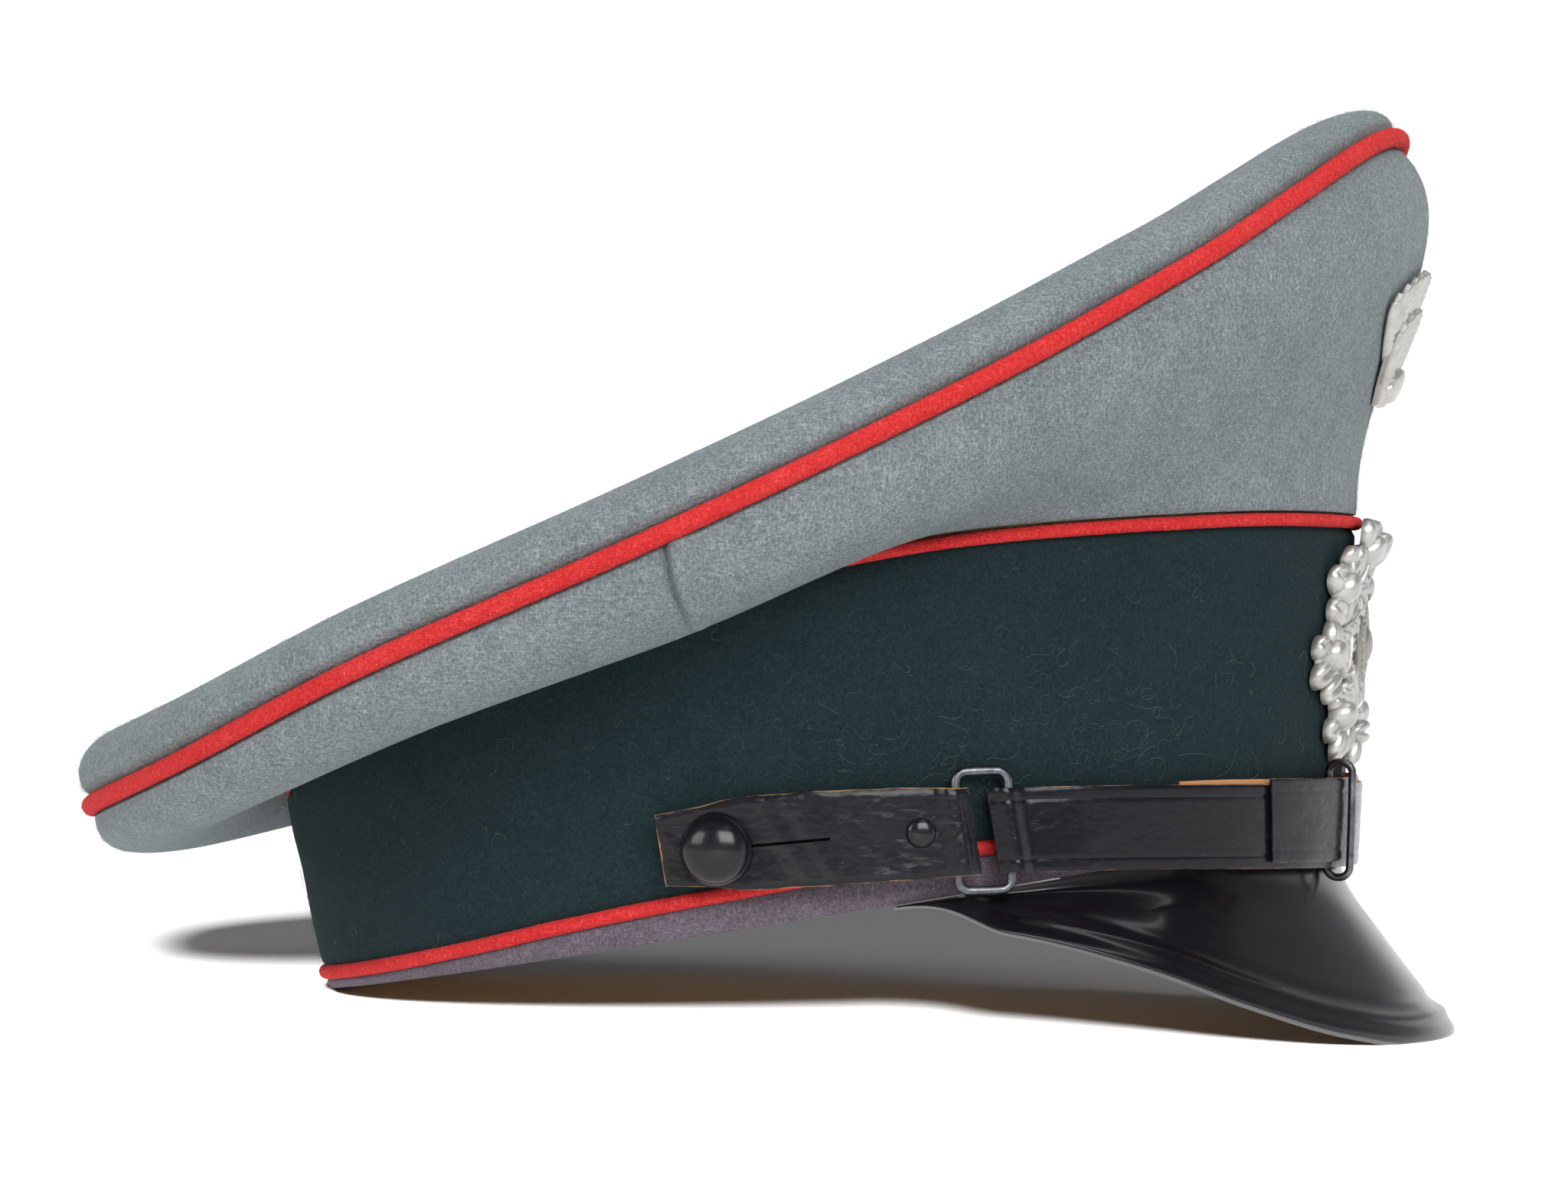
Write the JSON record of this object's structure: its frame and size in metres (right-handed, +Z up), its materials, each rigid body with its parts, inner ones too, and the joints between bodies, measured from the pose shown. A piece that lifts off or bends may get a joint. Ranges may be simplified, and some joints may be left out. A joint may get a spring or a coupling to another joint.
{
  "type": "peaked cap",
  "caption": "Peaked uniform cap with a swept-up wool crown, piped dark band, gloss visor, plain wreath badge and a leather chin strap on side buttons.",
  "frame": {"origin": "on the surface that the cap rests on, under the middle of its bounding box", "axes": "+X to the front of the cap, +Y to the wearer's left, +Z up; the cap rests nose up on the back of its band and the front of its visor, as in the picture"},
  "size_m": [0.2756, 0.2508, 0.1803],
  "materials": {
    "crown_wool": "field-grey wool cloth with a soft nap",
    "band_wool": "dark bottle-green wool facing cloth",
    "red_piping": "bright red wool piping",
    "base_cloth": "lilac-grey cloth, fine weave",
    "board": "stiff woven board",
    "lining": "smooth golden-brown lining",
    "celluloid": "thin clear-yellow sheet",
    "sweat_leather": "light tan leather, matt",
    "ribbon": "black ribbon",
    "lacquered_fibre": "black lacquer, high gloss",
    "strap_leather": "black lacquered leather, scuffed",
    "strap_flesh_side": "tan leather",
    "black_metal": "black japanned metal",
    "dark_wire": "dark nickelled wire",
    "silver_metal": "matt silver-washed metal",
    "spring_steel": "spring wire"
  },
  "bodies": {
    "cap": {"crown_top": "crown_wool", "crown_front_panel": "crown_wool", "crown_rear_panel_left": "crown_wool", "crown_rear_panel_right": "crown_wool", "crown_piping": "red_piping", "band_upper_piping": "red_piping", "band_lower_piping": "red_piping", "crown_ring_wire": "spring_steel", "front_stay": "board", "band_stiffener": "board", "crown_lining": "lining", "sweat_shield": "celluloid", "band_cloth": "band_wool", "band_base_strip": "base_cloth", "sweatband": "sweat_leather", "sweatband_bow": "ribbon", "visor": "lacquered_fibre", "upper_badge": "silver_metal", "wreath_badge": "silver_metal", "roundel": "silver_metal", "strap_tab_left": "strap_leather", "tab_rivet_left": "black_metal", "side_ring_left": "dark_wire", "strap_tab_right": "strap_leather", "tab_rivet_right": "black_metal", "side_ring_right": "dark_wire"},
    "button_left": {"side_button_left": "black_metal"},
    "button_right": {"side_button_right": "black_metal"},
    "strap_sides": {"strap_side_run_left": "strap_leather", "strap_side_run_right": "strap_leather"},
    "strap_front": {"strap_inner_layer": "strap_flesh_side", "strap_outer_layer": "strap_leather"},
    "slider_left": {"slider_left": "dark_wire", "slider_strap_end_left": "strap_leather"},
    "slider_right": {"slider_right": "dark_wire", "slider_strap_end_right": "strap_leather"}
  },
  "joints": [
    {"name": "button_turn_left", "type": "hinge", "parent": "cap", "child": "button_left", "pos_m": [0.00536, 0, 0.03425], "axis": [0, 1, 0], "continuous": true},
    {"name": "button_turn_right", "type": "hinge", "parent": "cap", "child": "button_right", "pos_m": [0.00536, 0, 0.03425], "axis": [0, -1, 0], "continuous": true},
    {"name": "strap_swing", "type": "hinge", "parent": "cap", "child": "strap_sides", "pos_m": [0.05348, 0, 0.03926], "axis": [0, 1, 0], "range_deg": [0, 12]},
    {"name": "strap_payout", "type": "slide", "parent": "strap_sides", "child": "strap_front", "axis": [1, 0, 0], "range_m": [0, 0.06], "deforming": ["strap_side_run_left", "strap_side_run_right"]},
    {"name": "slider_travel_left", "type": "hinge", "parent": "strap_front", "child": "slider_left", "pos_m": [0.0373, 0.00077, 0.0405], "axis": [0, 0, 1], "range_deg": [-19, 3.5]},
    {"name": "slider_travel_right", "type": "hinge", "parent": "strap_front", "child": "slider_right", "pos_m": [0.0373, -0.00077, 0.0405], "axis": [0, 0, 1], "range_deg": [-15, 8]}
  ],
  "couplings": [
    {"joint": "strap_payout", "follows": "strap_swing", "m_per_rad": 0.28648}
  ]
}
